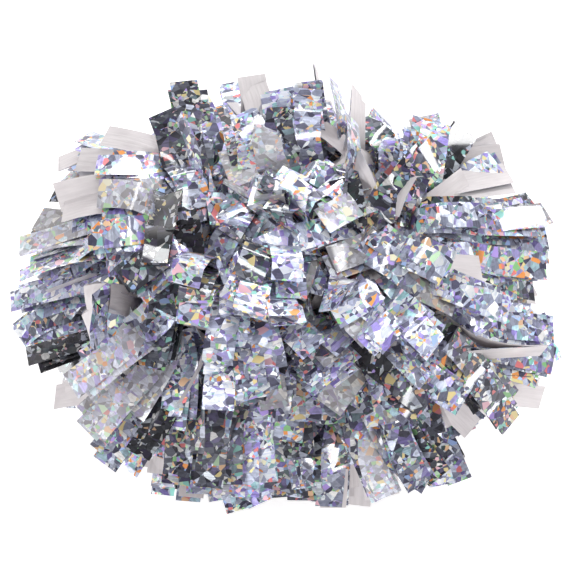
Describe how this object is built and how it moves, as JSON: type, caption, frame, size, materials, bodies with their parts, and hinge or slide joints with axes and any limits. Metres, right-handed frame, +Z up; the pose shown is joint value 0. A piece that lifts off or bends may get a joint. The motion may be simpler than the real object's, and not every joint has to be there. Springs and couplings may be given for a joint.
{
  "type": "cheerleading pom pom",
  "caption": "Baton-handled cheer pom: a hidden plastic baton between two tied stacks of fringed holographic silver film, whose strands flare into a wide flattened ball of springy tufts.",
  "frame": {"origin": "on the surface that the pom lies on, under the middle of the baton, which is the bounding box's bottom centre", "axes": "+X along the baton from its left end to its right end; +Y from the pom's front to its rear, where the hand goes in between the strands; +Z up, away from the surface that the pom lies on"},
  "size_m": [0.4006, 0.3197, 0.2725],
  "materials": {
    "silver_film": "mirror-bright holographic metallised film, broken into shards that flash pastel rainbow colours",
    "film_header": "metallised film, wrapped tight and crumpled under the tie",
    "baton_plastic": "satin moulded plastic with a fine ribbed grip",
    "plug_plastic": "satin moulded plastic",
    "tie_nylon": "natural nylon",
    "tape": "glossy white vinyl tape with a fine wrinkle"
  },
  "bodies": {
    "handle": {"baton_tube": "baton_plastic", "end_plug_left": "plug_plastic", "sheet_band_left_1": "film_header", "sheet_band_left_2": "film_header", "sheet_band_left_3": "film_header", "sheet_band_left_4": "film_header", "sheet_band_left_5": "film_header", "cable_tie_left": "tie_nylon", "binding_tape_left": "tape", "tuft_left_lower_front": "silver_film", "tuft_left_bottom": "silver_film", "tuft_left_lower_rear": "silver_film", "tuft_left_outer_bottom": "silver_film", "end_plug_right": "plug_plastic", "sheet_band_right_1": "film_header", "sheet_band_right_2": "film_header", "sheet_band_right_3": "film_header", "sheet_band_right_4": "film_header", "sheet_band_right_5": "film_header", "cable_tie_right": "tie_nylon", "binding_tape_right": "tape", "tuft_right_lower_front": "silver_film", "tuft_right_bottom": "silver_film", "tuft_right_lower_rear": "silver_film", "tuft_right_outer_bottom": "silver_film"},
    "tuft_left_top": {"tuft_left_top": "silver_film"},
    "tuft_left_upper_front": {"tuft_left_upper_front": "silver_film"},
    "tuft_left_front": {"tuft_left_front": "silver_film"},
    "tuft_left_rear": {"tuft_left_rear": "silver_film"},
    "tuft_left_upper_rear": {"tuft_left_upper_rear": "silver_film"},
    "tuft_left_outer_top": {"tuft_left_outer_top": "silver_film"},
    "tuft_left_outer_upper_front": {"tuft_left_outer_upper_front": "silver_film"},
    "tuft_left_outer_lower_front": {"tuft_left_outer_lower_front": "silver_film"},
    "tuft_left_outer_lower_rear": {"tuft_left_outer_lower_rear": "silver_film"},
    "tuft_left_outer_upper_rear": {"tuft_left_outer_upper_rear": "silver_film"},
    "tuft_left_end": {"tuft_left_end": "silver_film"},
    "tuft_right_top": {"tuft_right_top": "silver_film"},
    "tuft_right_upper_front": {"tuft_right_upper_front": "silver_film"},
    "tuft_right_front": {"tuft_right_front": "silver_film"},
    "tuft_right_rear": {"tuft_right_rear": "silver_film"},
    "tuft_right_upper_rear": {"tuft_right_upper_rear": "silver_film"},
    "tuft_right_outer_top": {"tuft_right_outer_top": "silver_film"},
    "tuft_right_outer_upper_front": {"tuft_right_outer_upper_front": "silver_film"},
    "tuft_right_outer_lower_front": {"tuft_right_outer_lower_front": "silver_film"},
    "tuft_right_outer_lower_rear": {"tuft_right_outer_lower_rear": "silver_film"},
    "tuft_right_outer_upper_rear": {"tuft_right_outer_upper_rear": "silver_film"},
    "tuft_right_end": {"tuft_right_end": "silver_film"}
  },
  "joints": [
    {"name": "left_top_flex", "type": "hinge", "parent": "handle", "child": "tuft_left_top", "pos_m": [-0.048, 0, 0.1425], "axis": [0, 1, 0], "range_deg": [-10, 10], "stiffness_Nm_per_rad": 0.12},
    {"name": "left_upper_front_flex", "type": "hinge", "parent": "handle", "child": "tuft_left_upper_front", "pos_m": [-0.048, -0.01308, 0.13708], "axis": [0, 0.7071, 0.7071], "range_deg": [-10, 10], "stiffness_Nm_per_rad": 0.12},
    {"name": "left_front_flex", "type": "hinge", "parent": "handle", "child": "tuft_left_front", "pos_m": [-0.048, -0.0185, 0.124], "axis": [0, 0, 1], "range_deg": [-10, 10], "stiffness_Nm_per_rad": 0.12},
    {"name": "left_rear_flex", "type": "hinge", "parent": "handle", "child": "tuft_left_rear", "pos_m": [-0.048, 0.0185, 0.124], "axis": [0, 0, -1], "range_deg": [-10, 10], "stiffness_Nm_per_rad": 0.12},
    {"name": "left_upper_rear_flex", "type": "hinge", "parent": "handle", "child": "tuft_left_upper_rear", "pos_m": [-0.048, 0.01308, 0.13708], "axis": [0, 0.7071, -0.7071], "range_deg": [-10, 10], "stiffness_Nm_per_rad": 0.12},
    {"name": "left_outer_top_flex", "type": "hinge", "parent": "handle", "child": "tuft_left_outer_top", "pos_m": [-0.064, 0, 0.1425], "axis": [0, 1, 0], "range_deg": [-8, 8], "stiffness_Nm_per_rad": 0.12},
    {"name": "left_outer_upper_front_flex", "type": "hinge", "parent": "handle", "child": "tuft_left_outer_upper_front", "pos_m": [-0.064, -0.01602, 0.13325], "axis": [0, 0.5, 0.866], "range_deg": [-8, 8], "stiffness_Nm_per_rad": 0.12},
    {"name": "left_outer_lower_front_flex", "type": "hinge", "parent": "handle", "child": "tuft_left_outer_lower_front", "pos_m": [-0.064, -0.01602, 0.11475], "axis": [0, -0.5, 0.866], "range_deg": [-8, 8], "stiffness_Nm_per_rad": 0.12},
    {"name": "left_outer_lower_rear_flex", "type": "hinge", "parent": "handle", "child": "tuft_left_outer_lower_rear", "pos_m": [-0.064, 0.01602, 0.11475], "axis": [0, -0.5, -0.866], "range_deg": [-8, 8], "stiffness_Nm_per_rad": 0.12},
    {"name": "left_outer_upper_rear_flex", "type": "hinge", "parent": "handle", "child": "tuft_left_outer_upper_rear", "pos_m": [-0.064, 0.01602, 0.13325], "axis": [0, 0.5, -0.866], "range_deg": [-8, 8], "stiffness_Nm_per_rad": 0.12},
    {"name": "left_end_flex", "type": "hinge", "parent": "handle", "child": "tuft_left_end", "pos_m": [-0.0823, 0, 0.124], "axis": [0, 1, 0], "range_deg": [-8, 8], "stiffness_Nm_per_rad": 0.12},
    {"name": "right_top_flex", "type": "hinge", "parent": "handle", "child": "tuft_right_top", "pos_m": [0.048, 0, 0.1425], "axis": [0, 1, 0], "range_deg": [-10, 10], "stiffness_Nm_per_rad": 0.12},
    {"name": "right_upper_front_flex", "type": "hinge", "parent": "handle", "child": "tuft_right_upper_front", "pos_m": [0.048, -0.01308, 0.13708], "axis": [0, 0.7071, 0.7071], "range_deg": [-10, 10], "stiffness_Nm_per_rad": 0.12},
    {"name": "right_front_flex", "type": "hinge", "parent": "handle", "child": "tuft_right_front", "pos_m": [0.048, -0.0185, 0.124], "axis": [0, 0, 1], "range_deg": [-10, 10], "stiffness_Nm_per_rad": 0.12},
    {"name": "right_rear_flex", "type": "hinge", "parent": "handle", "child": "tuft_right_rear", "pos_m": [0.048, 0.0185, 0.124], "axis": [0, 0, -1], "range_deg": [-10, 10], "stiffness_Nm_per_rad": 0.12},
    {"name": "right_upper_rear_flex", "type": "hinge", "parent": "handle", "child": "tuft_right_upper_rear", "pos_m": [0.048, 0.01308, 0.13708], "axis": [0, 0.7071, -0.7071], "range_deg": [-10, 10], "stiffness_Nm_per_rad": 0.12},
    {"name": "right_outer_top_flex", "type": "hinge", "parent": "handle", "child": "tuft_right_outer_top", "pos_m": [0.064, 0, 0.1425], "axis": [0, 1, 0], "range_deg": [-8, 8], "stiffness_Nm_per_rad": 0.12},
    {"name": "right_outer_upper_front_flex", "type": "hinge", "parent": "handle", "child": "tuft_right_outer_upper_front", "pos_m": [0.064, -0.01602, 0.13325], "axis": [0, 0.5, 0.866], "range_deg": [-8, 8], "stiffness_Nm_per_rad": 0.12},
    {"name": "right_outer_lower_front_flex", "type": "hinge", "parent": "handle", "child": "tuft_right_outer_lower_front", "pos_m": [0.064, -0.01602, 0.11475], "axis": [0, -0.5, 0.866], "range_deg": [-8, 8], "stiffness_Nm_per_rad": 0.12},
    {"name": "right_outer_lower_rear_flex", "type": "hinge", "parent": "handle", "child": "tuft_right_outer_lower_rear", "pos_m": [0.064, 0.01602, 0.11475], "axis": [0, -0.5, -0.866], "range_deg": [-8, 8], "stiffness_Nm_per_rad": 0.12},
    {"name": "right_outer_upper_rear_flex", "type": "hinge", "parent": "handle", "child": "tuft_right_outer_upper_rear", "pos_m": [0.064, 0.01602, 0.13325], "axis": [0, 0.5, -0.866], "range_deg": [-8, 8], "stiffness_Nm_per_rad": 0.12},
    {"name": "right_end_flex", "type": "hinge", "parent": "handle", "child": "tuft_right_end", "pos_m": [0.0823, 0, 0.124], "axis": [0, 1, 0], "range_deg": [-8, 8], "stiffness_Nm_per_rad": 0.12}
  ]
}
